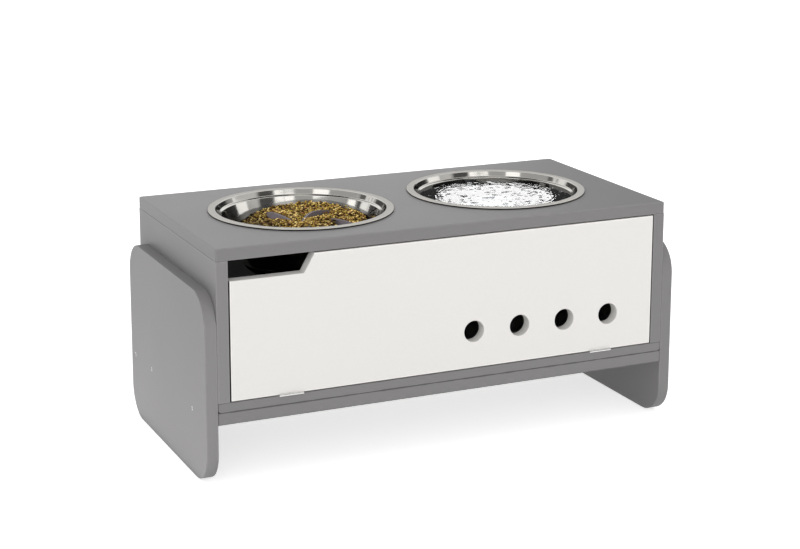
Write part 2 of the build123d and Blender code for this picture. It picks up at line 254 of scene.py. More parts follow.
def makeEdgeLightGroup(settings):
    group, given, out = newGroup(
        "paintedBoardEdgeLight",
        [("Colour", "Color", (0.5, 0.5, 0.5, 1)), ("Centre", "Vector", (0, 0, 0)),
         ("Half", "Vector", (1, 1, 1)), ("Width", "Float", 0.0015), ("Lift", "Float", 0.1)],
        [("Colour", "Color")])
    where = surfacePlace(group)
    offset = vectors(group, "ABSOLUTE", vectors(group, "SUBTRACT", where, given["Centre"]))
    x, y, z = axes(group, vectors(group, "SUBTRACT", given["Half"], offset))
    # on a face one depth is nothing, so the middle one of the three is how far the next edge is
    middle = maths(group, "MAXIMUM", maths(group, "MINIMUM", x, y),
                   maths(group, "MINIMUM", maths(group, "MAXIMUM", x, y), z))
    waver = spread(group, cloud(group, where, settings["scale"]), settings["least"], settings["most"])
    reach = maths(group, "MULTIPLY", given["Width"], waver)
    edge = remap(group, maths(group, "DIVIDE", middle, reach), settings["full"], 1.0, 1.0, 0.0, smooth=True)
    factor = maths(group, "MULTIPLY_ADD", edge, given["Lift"], 1.0)
    feed(group, out["Colour"], tint(group, given["Colour"], factor))
    return group


metalGrain = {
    "stain": 180.0,
    "shades": (0.9, 1.08),
    "streakRough": 0.25,
}


def makeMetalGroup(settings):
    group, given, out = newGroup(
        "platedMetal",
        [("Colour", "Color", (0.5, 0.5, 0.5, 1)), ("Stretch", "Vector", (1, 1, 1)),
         ("Base roughness", "Float", 0.3)],
        skinOutputs)
    where = surfacePlace(group)
    streak = cloud(group, vectors(group, "MULTIPLY", where, given["Stretch"]), 1.0, 3.0, 0.6)
    stain = cloud(group, where, settings["stain"], 2.0)
    factor = remap(group, maths(group, "ADD", streak, stain), 0.7, 1.3, *settings["shades"])
    feed(group, out["Colour"], tint(group, given["Colour"], factor))
    feed(group, out["Roughness"], sway(group, streak, settings["streakRough"], given["Base roughness"]))
    feed(group, out["Height"], streak)
    return group


spunGrain = {
    "rings": 2600.0,            # brushed rings per metre along the wall
    "drift": 2.0,               # how much they change round the bowl
    "rimBlend": 0.0012,         # from the polished inside to the brushed rim
    "rimRings": 0.12,
    "contrast": 0.19,
    "ringRough": 0.12,
    "smudge": 22.0,
    "smudgeRough": 0.06,
    # painted shadow under the lip: where it starts and ends, from the rim's inner edge, and how high it
    # reaches
    "lipShadow": (0.0078, 0.0084),   # the fold under the lip, from the rim's inner edge
    "lipShadowHeight": (0.0013, 0.0017),
    "lipShadowFactor": 0.02,
}


def makeSpunGroup(settings):
    group, given, out = newGroup(
        "spunSteel",
        [("Colour", "Color", (0.6, 0.6, 0.6, 1)), ("Centre", "Vector", (0, 0, 0)),
         ("Rim radius", "Float", 0.106), ("Inside roughness", "Float", 0.1), ("Rim roughness", "Float", 0.3)],
        skinOutputs)
    where = surfacePlace(group)
    local = vectors(group, "SUBTRACT", where, given["Centre"])
    flat = vectors(group, "MULTIPLY", local, (1, 1, 0))
    radius = vectors(group, "LENGTH", flat)
    high = axes(group, local)["Z"]
    turn = axes(group, vectors(group, "NORMALIZE", flat))
    run = maths(group, "SUBTRACT", radius, high)   # grows along the wall and over the rim
    ringPlace = place(group, "ShaderNodeCombineXYZ")
    for socket, value, scale in ((0, run, "rings"), (1, turn["X"], "drift"), (2, turn["Y"], "drift")):
        feed(group, ringPlace.inputs[socket], maths(group, "MULTIPLY", value, settings[scale]))
    rings = cloud(group, ringPlace.outputs[0], 1.0, 2.0, 0.6)
    smudge = cloud(group, where, settings["smudge"], 2.0)
    rimEdge = given["Rim radius"]
    rim = remap(group, radius, rimEdge, maths(group, "ADD", rimEdge, settings["rimBlend"]), 0.0, 1.0)
    depth = remap(group, rim, 0.0, 1.0, 1.0, settings["rimRings"])
    brushed = maths(group, "MULTIPLY", centred(group, rings), depth)
    factor = maths(group, "MULTIPLY_ADD", brushed, settings["contrast"], 1.0)
    # painted shadow: the steel under the lip is darkened as if it lay in shade
    start, end = (maths(group, "ADD", rimEdge, reach) for reach in settings["lipShadow"])
    outer = remap(group, radius, start, end, 0.0, 1.0)
    lipShadow = maths(group, "MULTIPLY", outer, remap(group, high, *settings["lipShadowHeight"], 1.0, 0.0))
    factor = maths(group, "MULTIPLY", factor, remap(group, lipShadow, 0.0, 1.0, 1.0, settings["lipShadowFactor"]))
    feed(group, out["Colour"], tint(group, given["Colour"], factor))
    span = maths(group, "SUBTRACT", given["Rim roughness"], given["Inside roughness"])
    rough = maths(group, "MULTIPLY_ADD", rim, span, given["Inside roughness"])
    rough = maths(group, "MULTIPLY_ADD", brushed, settings["ringRough"], rough)
    feed(group, out["Roughness"], sway(group, smudge, settings["smudgeRough"], rough))
    feed(group, out["Height"], brushed)
    return group


paintGroup = makePaintGroup(paintGrain)
edgeLightGroup = makeEdgeLightGroup(edgeLightWaver)
metalGroup = makeMetalGroup(metalGrain)
spunGroup = makeSpunGroup(spunGrain)
print("effect groups built")


paintSettings = {
    "speckle": 0.04,
    "roughness": 0.5,
    "sheen": 0.3,          # specular level
    "peelDepth": 0.00004,
    "edgeRound": 0.0005,
    "gapShade": 0.1,        # the door's two upright edges
    "gapReach": (0.0005, 0.0002),
}
grey = (0.225, 0.219, 0.221)
# each paint: its colour, and how much and how broadly its edges differ from it; a lift above nought is a
# painted highlight along the edges, below nought it is painted shade
paints = {
    "grey": {"colour": grey, "mottle": 0.045, "lift": 0.10, "width": 0.0020},
    # painted shade along the edges of the floor and base boards, which darkens the joints between them
    "seamShadeGrey": {"colour": grey, "mottle": 0.045, "lift": -0.42, "width": 0.0013},    # dark joint lines
    "white": {"colour": (0.83, 0.815, 0.785), "mottle": 0.02, "lift": 0.15, "width": 0.0020},
}
boardPaints = {
    "top_board": "grey",
    "left_side_panel": "grey",
    "right_side_panel": "grey",
    "floor_board": "seamShadeGrey",
    "base_board": "seamShadeGrey",
    "left_leg": "grey",
    "right_leg": "grey",
    "back_panel": "grey",
    "door": "white",
}


def sideShade(tree, low, high):
    middle, half = (low.x + high.x) / 2, (high.x - low.x) / 2
    near, far = paintSettings["gapReach"]
    across = axes(tree, surfacePlace(tree))["X"]
    away = maths(tree, "ABSOLUTE", maths(tree, "SUBTRACT", across, middle))
    return remap(tree, away, half - near, half - far, 1.0, paintSettings["gapShade"])


def boardPaint(node, paint):
    low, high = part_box(node)
    material, tree, shader = newMaterial(node + "_paint")
    skin = useGroup(tree, paintGroup, **{"Colour": (*paint["colour"], 1), "Mottle": paint["mottle"],
                                         "Speckle": paintSettings["speckle"],
                                         "Base roughness": paintSettings["roughness"]})
    paintedEdges = useGroup(tree, edgeLightGroup, **{"Colour": skin["Colour"], "Centre": (low + high) / 2,
                                         "Half": (high - low) / 2, "Width": paint["width"],
                                         "Lift": paint["lift"]})
    colour = paintedEdges["Colour"]
    if node == "door":
        colour = tint(tree, colour, sideShade(tree, low, high))
    shader.inputs["Specular IOR Level"].default_value = paintSettings["sheen"]
    coat(tree, shader, skin, paintSettings["peelDepth"], colour)
    return material


def soften(node, width):
    # a small round on every sharp edge, so that flush boards meet in a fine groove
    edge = nodes[node].modifiers.new("soft_edges", "BEVEL")
    edge.width = width
    edge.segments = 2
    edge.limit_method = "ANGLE"
    edge.angle_limit = math.radians(35)


def dress(node, material):
    part = nodes[node]
    if not part.material_slots:
        part.data.materials.append(material)
    for slot in part.material_slots:
        slot.material = material


for board, paint in boardPaints.items():
    dress(board, boardPaint(board, paints[paint]))
    soften(board, paintSettings["edgeRound"])
print("boards painted")


fittingSettings = {
    "nickel": {"colour": (0.78, 0.775, 0.76), "stretch": (300, 2500, 2500), "roughness": 0.32, "metal": 1.0},
    "zincPlate": {"colour": (0.72, 0.725, 0.73), "stretch": (900, 900, 900), "roughness": 0.34, "metal": 1.0},
    "dieCastZinc": {"colour": (0.55, 0.555, 0.56), "stretch": (400, 400, 400), "roughness": 0.42,
                    "metal": 1.0},
    "whiteMoulding": {"colour": (0.74, 0.74, 0.72), "stretch": (700, 700, 700), "roughness": 0.4,
                      "metal": 0.0},
    "ferrite": {"colour": (0.05, 0.05, 0.052), "stretch": (500, 500, 500), "roughness": 0.55, "metal": 0.0},
}
scratchDepth = 0.00002
fittingParts = {
    "nickel": ["left_hinge_door_leaf", "right_hinge_door_leaf", "left_hinge_floor_leaf",
               "right_hinge_floor_leaf", "left_hinge_pin", "right_hinge_pin", "catch_pole_plates",
               "strike_plate"],
    "zincPlate": ["left_leg_screws", "right_leg_screws", "hinge_door_screws", "hinge_floor_screws",
                  "catch_screws", "strike_screw", "cabinet_screws", "cam_bolts"],
    "dieCastZinc": ["cam_locks"],
    "whiteMoulding": ["catch_housing"],
    "ferrite": ["catch_magnet"],
}


def fittingMaterial(name, settings):
    material, tree, shader = newMaterial(name)
    skin = useGroup(tree, metalGroup, **{"Colour": (*settings["colour"], 1), "Stretch": settings["stretch"],
                                         "Base roughness": settings["roughness"]})
    shader.inputs["Metallic"].default_value = settings["metal"]
    coat(tree, shader, skin, scratchDepth)
    return material


for finish, parts in fittingParts.items():
    material = fittingMaterial(finish, fittingSettings[finish])
    for part in parts:
        dress(part, material)


beechSettings = {
    "dark": (0.42, 0.27, 0.14),
    "light": (0.68, 0.49, 0.30),
    "stretch": (900, 900, 60),    # the fibres run up the dowel
    "fleck": 700.0,
    "roughness": (0.55, 0.75),
    "grainDepth": 0.00005,
}


def beechMaterial(settings):
    material, tree, shader = newMaterial("beech")
    where = surfacePlace(tree)
    fibre = cloud(tree, vectors(tree, "MULTIPLY", where, settings["stretch"]), 1.0, 3.0, 0.6)
    fleck = cloud(tree, where, settings["fleck"], 1.0)
    shade = remap(tree, maths(tree, "ADD", fibre, fleck), 0.7, 1.3, 0.0, 1.0)
    colour = colourRamp(tree, shade, [(0.0, settings["dark"]), (1.0, settings["light"])])
    feed(tree, shader.inputs["Base Color"], colour)
    feed(tree, shader.inputs["Roughness"], spread(tree, fibre, *settings["roughness"]))
    bump(tree, shader, fibre, settings["grainDepth"])
    return material


beech = beechMaterial(beechSettings)
for part in ("top_dowels", "floor_dowels", "leg_dowels"):
    dress(part, beech)


insertSettings = {
    "edgeRound": 0.0007,
    "colour": (0.165, 0.145, 0.165),
    "mottle": 0.12,
    "speckle": 0.08,
    "roughness": 0.42,
    "peelDepth": 0.00003,
}


def insertMaterial(settings):
    material, tree, shader = newMaterial("insert_plastic")
    skin = useGroup(tree, paintGroup, **{"Colour": (*settings["colour"], 1), "Mottle": settings["mottle"],
                                         "Speckle": settings["speckle"],
                                         "Base roughness": settings["roughness"]})
    coat(tree, shader, skin, settings["peelDepth"])
    return material


dress("slow_feeder_insert", insertMaterial(insertSettings))
soften("slow_feeder_insert", insertSettings["edgeRound"])
print("fittings dressed")


bowlSettings = {
    # the inside from the middle of the bottom out to the rim: radius and height, then each corner's radius
    "inside": [(0.0, -82.0), (66.6, -82.0), (99.0, -5.4), (102.9, -4.3), (106.0, 2.2), (115.2, 2.2)],
    "corners": [38.0, 1.2, 1.4, 1.2],
    "arcStep": 4.0,         # degrees
    "facet": 6.0,           # the longest straight piece of the profile
    "sheet": 0.8,
    "lip": 0.95,
    "lipArc": (78, -190, -12),
    "segments": 192,
    "colour": (0.585, 0.57, 0.535),
    "insideRoughness": 0.10,
    "rimRoughness": 0.42,
    "rimRadius": 0.1062,
    "grooveDepth": 0.000004,
}


def bowlCentre(node):
    low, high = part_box(node)
    return ((low.x + high.x) / 2, (low.y + high.y) / 2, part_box("top_board")[1].z)


def roundedRun(points, corners, step):
    run = [Vector(points[0])]
    for i, radius in enumerate(corners, 1):
        before, here, after = (Vector(p) for p in points[i - 1:i + 2])
        a, b = (before - here).normalized(), (after - here).normalized()
        half = math.acos(max(-1, min(1, a.dot(b)))) / 2
        reach = radius / math.tan(half)
        centre = here + (a + b).normalized() * radius / math.sin(half)
        start, end = here + a * reach - centre, here + b * reach - centre
        sweep = start.angle_signed(end) * -1
        count = max(4, int(abs(math.degrees(sweep)) / step))
        for k in range(count + 1):
            angle = sweep * k / count
            turned = Vector((start.x * math.cos(angle) - start.y * math.sin(angle),
                             start.x * math.sin(angle) + start.y * math.cos(angle)))
            run.append(centre + turned)
    run.append(Vector(points[-1]))
    return run


def subdivideRun(run, longest):
    full = [run[0]]
    for a, b in zip(run, run[1:]):
        count = max(1, math.ceil((b - a).length / longest))
        full += [a.lerp(b, k / count) for k in range(1, count + 1)]
    return full


def offsetRun(run, distance):
    moved = []
    for i, point in enumerate(run):
        ahead = run[min(i + 1, len(run) - 1)] - run[max(i - 1, 0)]
        normal = Vector((ahead.y, -ahead.x)).normalized()
        moved.append(point + normal * distance)
    moved[0].x = 0.0
    return moved


def lathe(name, run, centre, segments):
    verts, faces, rings = [], [], []
    for r, z in run:
        if r < 1e-6:
            rings.append([len(verts)])
            verts.append((centre[0], centre[1], centre[2] + z * mm))
            continue
        rings.append(list(range(len(verts), len(verts) + segments)))
        for k in range(segments):
            angle = 2 * math.pi * k / segments
            verts.append((centre[0] + r * mm * math.cos(angle), centre[1] + r * mm * math.sin(angle),
                          centre[2] + z * mm))
    for low, high in zip(rings, rings[1:]):
        for k in range(segments):
            n = (k + 1) % segments
            if len(low) == 1:
                faces.append((low[0], high[n], high[k]))
            elif len(high) == 1:
                faces.append((low[k], low[n], high[0]))
            else:
                faces.append((low[k], low[n], high[n], high[k]))
    return meshPiece(name, verts, faces)


def meshPiece(name, verts, faces, smooth=True):
    mesh = bpy.data.meshes.new(name)
    mesh.from_pydata(verts, [], faces)
    mesh.update()
    piece = newObject(name, mesh)
    if smooth:
        mesh.polygons.foreach_set("use_smooth", [True] * len(mesh.polygons))
    return piece


def bowlInside(settings):
    return subdivideRun(roundedRun(settings["inside"], settings["corners"], settings["arcStep"]),
                        settings["facet"])


def bowlRun(settings):
    inside = bowlInside(settings)
    outside = offsetRun(inside, settings["sheet"])
    lipR = settings["lip"]
    lipX, lipZ = settings["inside"][-1][0], settings["inside"][-1][1] - lipR
    lip = [Vector((lipX + lipR * math.cos(math.radians(a)), lipZ + lipR * math.sin(math.radians(a))))
           for a in range(*settings["lipArc"])]
    outside = [p for p in outside if p.x < lipX - lipR]
    return inside + lip + outside[::-1]


def steelMaterial(name, centre, settings):
    material, tree, shader = newMaterial(name)
    skin = useGroup(tree, spunGroup, **{"Colour": (*settings["colour"], 1), "Centre": centre,
                                        "Rim radius": settings["rimRadius"],
                                        "Inside roughness": settings["insideRoughness"],
                                        "Rim roughness": settings["rimRoughness"]})
    shader.inputs["Metallic"].default_value = 1.0
    coat(tree, shader, skin, settings["grooveDepth"])
    return material


def makeBowl(node, body):
    centre = bowlCentre(node)
    piece = lathe(node + "_spun", bowlRun(bowlSettings), centre, bowlSettings["segments"])
    piece.data.materials.append(steelMaterial(node + "_steel", centre, bowlSettings))
    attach(piece, body)
    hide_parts(node)
    return piece


for bowl in ("food_bowl", "water_bowl"):
    makeBowl(bowl, bowl)
print("bowls spun")


def wallRadius(height):
    (r0, z0), (r1, z1) = bowlSettings["inside"][1:3]
    return r0 + (height - z0) * (r1 - r0) / (z1 - z0)


foodSettings = {
    # millimetres from the top board; the heap leans on the back of the bowl
    "middle": -17.3,
    "edgeMean": -34.4,
    "edgeSwing": 21.8,
    "edgeLowest": -31.0,
    "highTurn": 55.8,       # where the edge is highest, degrees from +X
    "fall": 2.6,            # how late the heap falls off towards the wall
    "dips": [(-34, 50, 17, 4.5), (24, 17, 16, 3.5)],    # x, y, radius, depth
    "buried": {2: 33, 3: 42, 4: 54},    # blade number and how far out the food covers it
    "cover": 2.0,
    "coverSide": 8.0,       # how far the cover reaches to both sides and past the blade
    "coverEnd": 5.0,
    "waves": [(0.045, 1.7, 1.2), (0.13, 5.1, 0.8)],     # scale, layer, height
    "field": 100.0,         # pellets are laid this far out, as far as the wall lets them
    "pitch": 2.5,
    "rowPitch": 0.866,
    "scatter": 0.9,
    "pelletRadius": 1.15,
    "pelletHalf": 0.9,
    "pelletSides": 6,
    "pelletRings": [0.4, -0.4],
    "pelletSize": (0.85, 1.15),
    "pelletStretch": (1.2, 1.9),
    "pelletWobble": (0.92, 1.08),
    "tumble": 0.5,
    "bladeClear": 2.4,
    "wallClear": 2.0,
    "bladeSunk": 0.8,       # a blade this far under a pellet doesn't keep it away
    # painted shade: the food is darkened towards its left side, as if the bowl's wall shadowed it
    "shadeSide": (-62, -20, 0.4),    # the food is this dark at the first x, and plain from the second
    "grain": 900.0,
    "grainDepth": 0.0003,
    "roughness": (0.7, 0.5),
    "sheen": 0.3,
    "colours": [(0.0, (0.03, 0.01, 0.002)), (0.25, (0.15, 0.07, 0.007)), (0.5, (0.36, 0.215, 0.028)),
                (0.7, (0.5, 0.345, 0.06)), (0.93, (0.92, 0.70, 0.27)), (1.0, (0.36, 0.12, 0.045))],
}
# the lower layer's pellets are painted darker as shade in the gaps, the upper layer's pellets are painted
# lighter as if lit
foodLayers = {
    "dry_food_lower": {"rise": -1.7, "share": 1.0, "offset": 0.0, "seed": 11, "paintedLightTones": (0.35, 0.75)},
    "dry_food_upper": {"rise": 0.5, "share": 0.55, "offset": 0.37, "seed": 12, "paintedLightTones": (0.65, 1.3)},
}
bladeSettings = {"count": 5, "first": 131.0, "bend": 85.0, "reach": 68.0, "hub": 6.0,
                 "hubTop": -19.0, "crestAt": 42.0, "crest": -12.2, "tip": -15.5}
farAway = 100.0


def bladeTop(r):
    crestAt, crest = bladeSettings["crestAt"], bladeSettings["crest"]
    end, height = ("hub", "hubTop") if r < crestAt else ("reach", "tip")
    share = (r - crestAt) / (bladeSettings[end] - crestAt)
    return crest + (bladeSettings[height] - crest) * share ** 2


def bladeGap(k, x, y):
    bend, reach = bladeSettings["bend"], bladeSettings["reach"]
    root = bladeSettings["first"] - k * 360 / bladeSettings["count"]
    out = math.radians(root - math.degrees(math.asin(reach / (2 * bend))))
    if x * math.cos(out) + y * math.sin(out) < 0:
        return farAway
    side = math.radians(root - 90)
    return abs(math.hypot(x - bend * math.cos(side), y - bend * math.sin(side)) - bend)


def bladeDistance(x, y):
    if math.hypot(x, y) > bladeSettings["reach"] + 2:
        return farAway
    nearest = min(bladeGap(k, x, y) for k in range(bladeSettings["count"]))
    return min(nearest, max(0.0, math.hypot(x, y) - bladeSettings["hub"]))


def patch(x, y, scale, layer):
    return noise.noise(Vector((x * scale, y * scale, layer)))


def edgeHeight(turn):
    swing = foodSettings["edgeSwing"] * math.cos(turn - math.radians(foodSettings["highTurn"]))
    return max(foodSettings["edgeLowest"], foodSettings["edgeMean"] + swing)


def coverHeight(x, y):
    # the food that lies over a buried blade, falling off to both sides and past its end
    r = math.hypot(x, y)
    high = -farAway
    for k, reach in foodSettings["buried"].items():
        past = max(0.0, r - reach)
        drop = (bladeGap(k, x, y) / foodSettings["coverSide"]) ** 2 + (past / foodSettings["coverEnd"]) ** 2
        high = max(high, bladeTop(min(r, reach)) + foodSettings["cover"] - drop)
    return high


def foodHeight(x, y):
    edge = edgeHeight(math.atan2(y, x))
    share = min(1.0, math.hypot(x, y) / wallRadius(edge)) ** foodSettings["fall"]
    broad, fine = (patch(x, y, scale, layer) * height for scale, layer, height in foodSettings["waves"])
    dip = sum(deep * math.exp(-((x - dx) ** 2 + (y - dy) ** 2) / wide ** 2)
              for dx, dy, wide, deep in foodSettings["dips"])
    heap = foodSettings["middle"] * (1 - share) + edge * share + broad + fine - dip
    return max(heap, coverHeight(x, y))


def pelletShape(rng):
    radius, half = foodSettings["pelletRadius"], foodSettings["pelletHalf"]
    count = foodSettings["pelletSides"]
    size = rng.uniform(*foodSettings["pelletSize"])
    wide = rng.uniform(*foodSettings["pelletStretch"])
    verts = [Vector((0, 0, half * size))]
    for z in foodSettings["pelletRings"]:
        for k in range(count):
            angle = 2 * math.pi * k / count
            wobble = rng.uniform(*foodSettings["pelletWobble"])
            verts.append(Vector((radius * size * wobble * wide * math.cos(angle),
                                 radius * size * wobble * math.sin(angle), half * z * size)))
    verts.append(Vector((0, 0, -half * size)))
    return verts


def pelletFaces(count, rings):
    faces = [(0, 1 + k, 1 + (k + 1) % count) for k in range(count)]
    for ring in range(rings - 1):
        a, b = 1 + ring * count, 1 + (ring + 1) * count
        faces += [(a + k, b + k, b + (k + 1) % count, a + (k + 1) % count) for k in range(count)]
    last = 1 + rings * count
    low = 1 + (rings - 1) * count
    faces += [(low + k, last, low + (k + 1) % count) for k in range(count)]
    return faces


def pelletFits(x, y, z):
    if math.hypot(x, y) > wallRadius(z) - foodSettings["wallClear"]:
        return False
    covered = bladeTop(math.hypot(x, y)) < z - foodSettings["bladeSunk"]
    return covered or bladeDistance(x, y) > foodSettings["bladeClear"]


def pelletPlaces(rng, rise, share, offset):
    pitch, row, scatter = foodSettings["pitch"], foodSettings["rowPitch"], foodSettings["scatter"]
    spots = []
    rows = int(foodSettings["field"] / (pitch * row)) + 1
    for j in range(-rows, rows + 1):
        for i in range(-rows, rows + 1):
            x = (i + 0.5 * (j % 2) + offset) * pitch + rng.uniform(-scatter, scatter)
            y = (j * row + offset) * pitch + rng.uniform(-scatter, scatter)
            lift = rng.uniform(-scatter, scatter)
            keep = rng.random()
            z = foodHeight(x, y) + rise + lift
            if keep < share and pelletFits(x, y, z):
                spots.append((x, y, z))
    return spots


def foodMaterial(name, paintedLightTones):
    material, tree, shader = newMaterial(name)
    where = surfacePlace(tree)
    each = place(tree, "ShaderNodeNewGeometry").outputs["Random Per Island"]
    colour = colourRamp(tree, each, foodSettings["colours"])
    grain = cloud(tree, where, foodSettings["grain"], 3.0, 0.65)
    near, far, shade = foodSettings["shadeSide"]
    middle = bowlCentre("food_bowl")[0]
    across = axes(tree, where)["X"]
    # painted shade on the food's left side
    side = remap(tree, across, middle + near * mm, middle + far * mm, shade, 1.0, smooth=True)
    # the grain's random tone, scaled by the layer's painted light and by the painted shade on the left side
    factor = maths(tree, "MULTIPLY", spread(tree, grain, *paintedLightTones), side)
    feed(tree, shader.inputs["Base Color"], tint(tree, colour, factor))
    feed(tree, shader.inputs["Roughness"], spread(tree, grain, *foodSettings["roughness"]))
    shader.inputs["Specular IOR Level"].default_value = foodSettings["sheen"]
    bump(tree, shader, grain, foodSettings["grainDepth"])
    return material


def makeFood(name, layer):
    rng = random.Random(layer["seed"])
    sides, rings = foodSettings["pelletSides"], len(foodSettings["pelletRings"])
    shapeFaces = pelletFaces(sides, rings)
    verts, faces = [], []
    cx, cy, cz = bowlCentre("food_bowl")
    for x, y, z in pelletPlaces(rng, layer["rise"], layer["share"], layer["offset"]):
        tilt = Matrix.Rotation(rng.uniform(0, 2 * math.pi), 3, "Z") @ Matrix.Rotation(
            rng.gauss(0, foodSettings["tumble"]), 3, "X") @ Matrix.Rotation(rng.uniform(0, 6.28), 3, "Z")
        start = len(verts)
        for v in pelletShape(rng):
            p = tilt @ v
            verts.append((cx + (x + p.x) * mm, cy + (y + p.y) * mm, cz + (z + p.z) * mm))
        faces += [tuple(start + i for i in face) for face in shapeFaces]
    piece = meshPiece(name, verts, faces)
    piece.data.materials.append(foodMaterial(name, layer["paintedLightTones"]))
    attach(piece, "food_bowl")
    print(name, "pellets:", len(verts) // (sides * rings + 2))
    return piece


bedSettings = {
    # the imported food under the loose pellets, painted near black as the shade in the gaps between them; in
    # millimetres
    "drop": 2.6,
    "depth": 8.0,
    "wallGap": 0.4,
    "navel": 0.02,          # the middle face's share of a ring
    "rings": 30,
    "segments": 96,
    "dark": (0.012, 0.006, 0.002),
    "light": (0.06, 0.03, 0.008),
    "grain": 320.0,
    "grainDepth": 0.001,
    "roughness": (0.8, 0.6),
}


def bedMaterial(settings):
    material, tree, shader = newMaterial("shaded_food_bed")
    grain = cloud(tree, surfacePlace(tree), settings["grain"], 3.0, 0.6)
    shade = remap(tree, grain, 0.35, 0.65, 0.0, 1.0)
    colour = colourRamp(tree, shade, [(0.0, settings["dark"]), (1.0, settings["light"])])
    feed(tree, shader.inputs["Base Color"], colour)
    feed(tree, shader.inputs["Roughness"], spread(tree, grain, *settings["roughness"]))
    bump(tree, shader, grain, settings["grainDepth"])
    return material


def makeFoodBed(settings):
    cx, cy, cz = bowlCentre("food_bowl")
    drop, gap, navel = settings["drop"], settings["wallGap"], settings["navel"]
    rings, segments = settings["rings"], settings["segments"]
    verts, faces = [], []
    for k in range(rings + 1):
        for s in range(segments):
            turn = 2 * math.pi * s / segments
            r = (wallRadius(edgeHeight(turn) - drop) - gap) * (k + navel) / (rings + navel)
            x, y = r * math.cos(turn), r * math.sin(turn)
            verts.append((x, y, foodHeight(x, y) - drop))
    for s in range(segments):
        turn = 2 * math.pi * s / segments
        low = edgeHeight(turn) - drop - settings["depth"]
        r = wallRadius(low) - gap
        verts.append((r * math.cos(turn), r * math.sin(turn), low))
    for k in range(rings + 1):
        for s in range(segments):
            a, b, n = k * segments, (k + 1) * segments, (s + 1) % segments
            faces.append((a + s, b + s, b + n, a + n))
    faces.append(tuple(range(segments)))
    faces.append(tuple(range((rings + 1) * segments, (rings + 2) * segments))[::-1])
    verts = [(cx + x * mm, cy + y * mm, cz + z * mm) for x, y, z in verts]
    piece = meshPiece("shaded_food_bed", verts, faces)
    piece.data.materials.append(bedMaterial(settings))
    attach(piece, "food_bowl")
    return piece


for name, layer in foodLayers.items():
    makeFood(name, layer)
makeFoodBed(bedSettings)


wallShadeSettings = {
    # on the wall over the food, first where it is broadest, then where it is narrowest
    "reach": (14.0, 3.0),       # mm over the food's edge
    "shade": (0.04, 0.5),       # what it leaves of the steel's colour
    "turns": (-0.2, 0.85),      # where these two hold, as the cosine from the food's highest edge
    "fade": (0.75, 1.15),
    "blotch": 0.5,
    "blotchScale": 90.0,
    "roughness": 0.22,
    "wallMiddle": 101.7,        # parts the inner face from the outer one
}


def makePaintedWallShade(settings):
    # painted shade: the steel's colour darkened in a band on the wall just above the food, standing in for
    # the dark reflection of the food there; the band is also rougher
    tree = scene.objects["food_bowl_spun"].data.materials[0].node_tree
    shader = tree.nodes["Principled BSDF"]
    where = surfacePlace(tree)
    local = vectors(tree, "SUBTRACT", where, bowlCentre("food_bowl"))
    flat = vectors(tree, "MULTIPLY", local, (1, 1, 0))
    height = axes(tree, local)["Z"]
    way = axes(tree, vectors(tree, "NORMALIZE", flat))
    high = math.radians(foodSettings["highTurn"])
    swing = maths(tree, "MULTIPLY_ADD", way["X"], math.cos(high),
                  maths(tree, "MULTIPLY", way["Y"], math.sin(high)))
    edge = maths(tree, "MULTIPLY_ADD", swing, foodSettings["edgeSwing"] * mm, foodSettings["edgeMean"] * mm)
    edge = maths(tree, "MAXIMUM", edge, foodSettings["edgeLowest"] * mm)
    broad, narrow = settings["reach"]
    reach = remap(tree, swing, *settings["turns"], broad * mm, narrow * mm)
    above = maths(tree, "DIVIDE", maths(tree, "SUBTRACT", height, edge), reach)
    blotch = maths(tree, "MULTIPLY_ADD", cloud(tree, where, settings["blotchScale"]), settings["blotch"],
                   -settings["blotch"] / 2)
    cover = remap(tree, maths(tree, "ADD", above, blotch), *settings["fade"], 1.0, 0.0, smooth=True)
    (r0, z0), (r1, z1) = bowlSettings["inside"][1:3]
    # the radius with the wall's slope taken out, the same all the way up each face
    upright = maths(tree, "MULTIPLY_ADD", height, -(r1 - r0) / (z1 - z0), vectors(tree, "LENGTH", flat))
    inner = maths(tree, "LESS_THAN", upright, settings["wallMiddle"] * mm)
    left = maths(tree, "SUBTRACT", 1.0, remap(tree, swing, *settings["turns"], *settings["shade"]))
    wallShade = maths(tree, "MULTIPLY", maths(tree, "MULTIPLY", cover, inner), left)
    steel = shader.inputs["Base Color"].links[0].from_socket
    kept = maths(tree, "SUBTRACT", 1.0, wallShade)
    feed(tree, shader.inputs["Base Color"], tint(tree, steel, kept))
    feed(tree, shader.inputs["Specular Tint"], tint(tree, (1, 1, 1), kept))
    polish = shader.inputs["Roughness"].links[0].from_socket
    rough = maths(tree, "MULTIPLY_ADD", wallShade, settings["roughness"], polish)
    feed(tree, shader.inputs["Roughness"], rough)


makePaintedWallShade(wallShadeSettings)
print("food poured")


waterSettings = {
    "level": -6.0,
    "waves": [(0.05, 3.3), (0.15, 8.8), (0.10, 2.1), (0.22, 6.4)],     # scale, layer: two swells, two dents
    "swell": 0.045,         # mm, broad and soft
    "secondSwell": 0.45,
    "dimple": 0.9,          # mm, a few dents
    "dimpleFrom": 0.40,
    "speck": 0.5,           # mm, smaller dents
    "speckFrom": 0.42,
    "ring": 0.035,          # mm, round ripples near the wall
    "ringPitch": 5.0,
    "ringFrom": 60,
    "calmEdge": 4.0,
    "under": 0.3,           # how far it stands into the steel, so that no gap shows
    "rings": 150,
    "segments": 320,
    "colour": (0.64, 0.74, 0.85, 1),
    "ior": 1.333,
    "tremble": 260.0,
    "trembleDepth": 0.00002,
}


